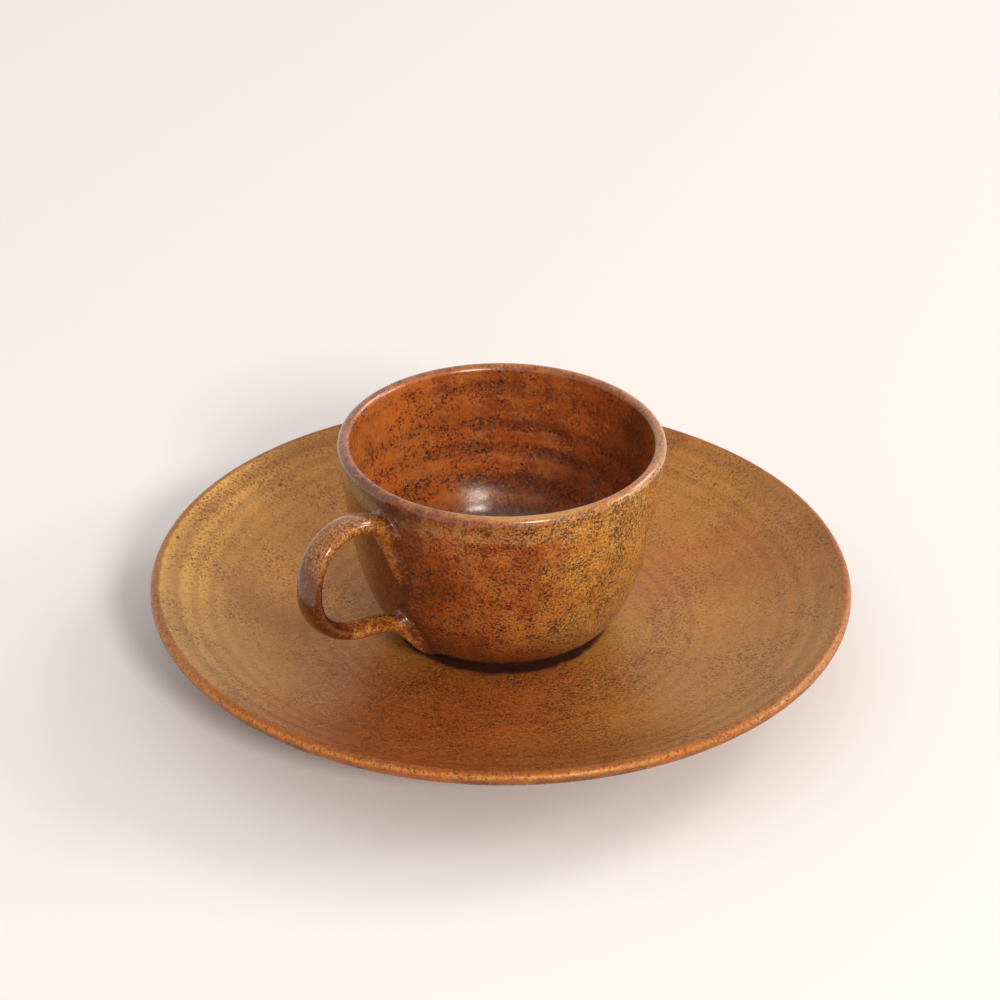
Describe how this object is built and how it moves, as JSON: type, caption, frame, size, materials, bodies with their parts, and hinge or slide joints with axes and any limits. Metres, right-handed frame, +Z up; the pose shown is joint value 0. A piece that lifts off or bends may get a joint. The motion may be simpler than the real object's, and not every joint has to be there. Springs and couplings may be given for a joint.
{
  "type": "coffee cup with saucer",
  "caption": "Small stoneware coffee cup with a pulled strap handle, resting on a wide shallow saucer with a rounded lip.",
  "frame": {"origin": "centre of the saucer's foot ring on the table, under the middle of cup and saucer", "axes": "+Z up, the handle points along -X"},
  "size_m": [0.165, 0.165, 0.0557],
  "materials": {
    "saucer_glaze": "satin rust and tan glaze with fine dark specks",
    "cup_glaze": "satin rust and ochre glaze with fine dark specks",
    "handle_glaze": "satin ochre and rust glaze, darker where it pools"
  },
  "bodies": {
    "saucer": {"saucer": "saucer_glaze"},
    "cup": {"cup_body": "cup_glaze", "handle": "handle_glaze"}
  },
  "joints": [
    {"name": "cup_lift", "type": "slide", "parent": "saucer", "child": "cup", "axis": [0, 0, 1], "range_m": [0, 0.12]}
  ]
}
